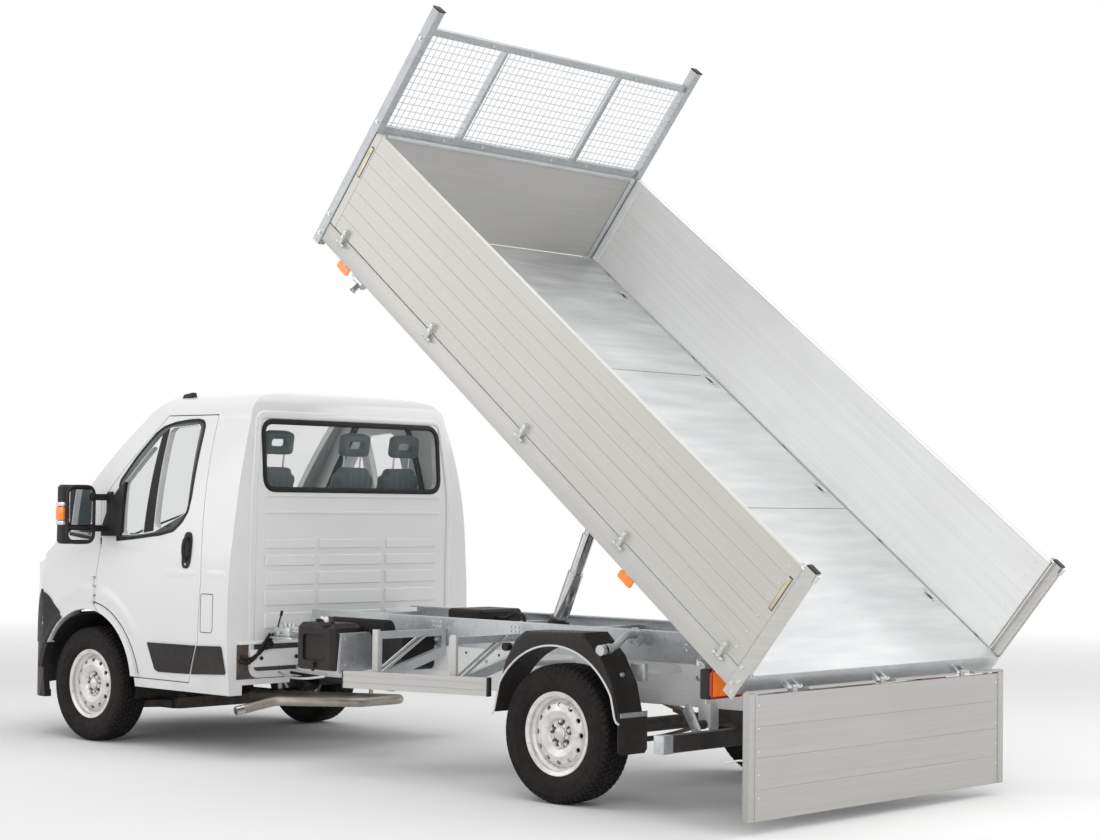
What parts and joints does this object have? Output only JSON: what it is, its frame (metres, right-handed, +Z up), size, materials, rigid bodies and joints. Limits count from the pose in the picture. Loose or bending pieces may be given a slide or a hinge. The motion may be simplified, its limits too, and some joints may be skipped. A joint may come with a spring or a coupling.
{
  "type": "dump truck",
  "caption": "Van-based dump truck with a hollow cab, a tipped aluminium dropside bed with mesh headboard, a hanging tailgate and a telescopic ram.",
  "frame": {"origin": "centre of the footprint on the ground", "axes": "+X forward, +Y to the vehicle's left, +Z up"},
  "size_m": [6.7458, 2.605, 4.2728],
  "materials": {
    "amber_lens": "clear amber",
    "anodised": "anodised, satin",
    "black_paint": "semi-gloss black",
    "black_plastic": "grained",
    "chrome": "polished",
    "clear_lens": "clear",
    "dark_metal": "bare, dull",
    "floor_metal": "bright, scuffed",
    "galvanised": "galvanised, spangled",
    "glass": "clear, dark tint",
    "red_lens": "clear red",
    "seat_fabric": "woven",
    "tyre_rubber": "matte",
    "wheel_paint": "silver paint",
    "white_paint": "gloss white"
  },
  "bodies": {
    "chassis": {"body_seals": "black_plastic", "cab_floor": "black_plastic", "cab_shell": "white_paint", "chassis_frame": "white_paint", "dashboard": "black_plastic", "driver_seat": "seat_fabric", "engine_block": "dark_metal", "exhaust": "dark_metal", "front_bumper": "black_plastic", "front_suspension": "dark_metal", "grille": "black_plastic", "guard_brackets": "galvanised", "headlamps": "clear_lens", "leaf_springs": "dark_metal", "mudguards": "black_plastic", "passenger_bench": "seat_fabric", "power_unit": "black_plastic", "rear_axle": "dark_metal", "rear_window": "glass", "side_guards": "anodised", "steering_wheel": "black_plastic", "subframe": "galvanised", "tail_lamps": "red_lens", "tanks": "black_plastic", "underrun_bar": "black_paint", "windscreen": "glass"},
    "knuckle_left": {"knuckle_left": "dark_metal"},
    "knuckle_right": {"knuckle_right": "dark_metal"},
    "wheel_front_left": {"tyre_front_left": "tyre_rubber", "rim_front_left": "wheel_paint"},
    "wheel_front_right": {"tyre_front_right": "tyre_rubber", "rim_front_right": "wheel_paint"},
    "wheel_rear_left": {"tyre_rear_left": "tyre_rubber", "rim_rear_left": "wheel_paint"},
    "wheel_rear_right": {"tyre_rear_right": "tyre_rubber", "rim_rear_right": "wheel_paint"},
    "door_left": {"door_left": "white_paint", "door_glass_left": "glass", "mirror_left": "black_plastic"},
    "door_right": {"door_right": "white_paint", "door_glass_right": "glass", "mirror_right": "black_plastic"},
    "bonnet": {"bonnet": "white_paint"},
    "bed": {"bed_floor": "floor_metal", "bed_frame": "galvanised", "rear_posts": "anodised", "headboard_frame": "galvanised", "headboard_mesh": "galvanised", "bulkhead": "anodised", "bed_hinges": "galvanised", "marker_lamps": "amber_lens"},
    "side_board_left": {"side_board_left": "anodised"},
    "side_board_right": {"side_board_right": "anodised"},
    "tailgate": {"tailgate": "anodised"},
    "ram_barrel": {"ram_barrel": "black_paint"},
    "ram_stage_1": {"ram_stage_1": "chrome"},
    "ram_stage_2": {"ram_stage_2": "chrome"},
    "ram_stage_3": {"ram_stage_3": "chrome"},
    "ram_stage_4": {"ram_stage_4": "chrome"}
  },
  "joints": [
    {"name": "steer_left", "type": "hinge", "parent": "chassis", "child": "knuckle_left", "pos_m": [2.42477, 0.76, 0.365], "axis": [0, 0, 1], "range_deg": [-35, 35]},
    {"name": "steer_right", "type": "hinge", "parent": "chassis", "child": "knuckle_right", "pos_m": [2.42477, -0.76, 0.365], "axis": [0, 0, 1], "range_deg": [-35, 35]},
    {"name": "spin_front_left", "type": "hinge", "parent": "knuckle_left", "child": "wheel_front_left", "pos_m": [2.42477, 0.905, 0.365], "axis": [0, 1, 0], "continuous": true},
    {"name": "spin_front_right", "type": "hinge", "parent": "knuckle_right", "child": "wheel_front_right", "pos_m": [2.42477, -0.905, 0.365], "axis": [0, 1, 0], "continuous": true},
    {"name": "spin_rear_left", "type": "hinge", "parent": "chassis", "child": "wheel_rear_left", "pos_m": [-1.61023, 0.895, 0.365], "axis": [0, 1, 0], "continuous": true},
    {"name": "spin_rear_right", "type": "hinge", "parent": "chassis", "child": "wheel_rear_right", "pos_m": [-1.61023, -0.895, 0.365], "axis": [0, 1, 0], "continuous": true},
    {"name": "door_left_swing", "type": "hinge", "parent": "chassis", "child": "door_left", "pos_m": [2.37277, 1.024, 1.2], "axis": [0, 0, -1], "range_deg": [0, 70]},
    {"name": "door_right_swing", "type": "hinge", "parent": "chassis", "child": "door_right", "pos_m": [2.37277, -1.024, 1.2], "axis": [0, 0, 1], "range_deg": [0, 70]},
    {"name": "bonnet_lift", "type": "hinge", "parent": "chassis", "child": "bonnet", "pos_m": [2.85577, 0, 1.243], "axis": [0, -1, 0], "range_deg": [0, 50]},
    {"name": "bed_tip", "type": "hinge", "parent": "chassis", "child": "bed", "pos_m": [-2.59973, 0, 0.8565], "axis": [0, 1, 0], "range_deg": [0, 38.4]},
    {"name": "board_left_drop", "type": "hinge", "parent": "bed", "child": "side_board_left", "pos_m": [-1.39208, 1.162, 1.97299], "axis": [-0.7834, 0, -0.6216], "range_deg": [0, 180]},
    {"name": "board_right_drop", "type": "hinge", "parent": "bed", "child": "side_board_right", "pos_m": [-1.39208, -1.162, 1.97299], "axis": [0.7834, 0, 0.6216], "range_deg": [0, 180]},
    {"name": "tailgate_swing", "type": "hinge", "parent": "bed", "child": "tailgate", "pos_m": [-2.96921, 0, 0.68908], "axis": [0, 1, 0], "range_deg": [0, 141.5]},
    {"name": "ram_swing", "type": "hinge", "parent": "chassis", "child": "ram_barrel", "pos_m": [-0.55229, 0, 0.46], "axis": [0, 1, 0], "range_deg": [0, 3.84]},
    {"name": "ram_slide_1", "type": "slide", "parent": "ram_barrel", "child": "ram_stage_1", "axis": [-0.4006, 0, 0.9163], "range_m": [-0.2827, 0]},
    {"name": "ram_slide_2", "type": "slide", "parent": "ram_stage_1", "child": "ram_stage_2", "axis": [-0.4006, 0, 0.9163], "range_m": [-0.2316, 0]},
    {"name": "ram_slide_3", "type": "slide", "parent": "ram_stage_2", "child": "ram_stage_3", "axis": [-0.4006, 0, 0.9163], "range_m": [-0.279, 0]},
    {"name": "ram_slide_4", "type": "slide", "parent": "ram_stage_3", "child": "ram_stage_4", "axis": [-0.4006, 0, 0.9163], "range_m": [-0.3937, 0]}
  ],
  "couplings": [
    {"joint": "steer_right", "follows": "steer_left", "ratio": 1},
    {"joint": "ram_swing", "follows": "bed_tip", "ratio": 0.074},
    {"joint": "ram_slide_1", "follows": "bed_tip", "m_per_rad": -0.42072},
    {"joint": "ram_slide_2", "follows": "bed_tip", "m_per_rad": -0.34448},
    {"joint": "ram_slide_3", "follows": "bed_tip", "m_per_rad": -0.41515},
    {"joint": "ram_slide_4", "follows": "bed_tip", "m_per_rad": -0.58628}
  ]
}
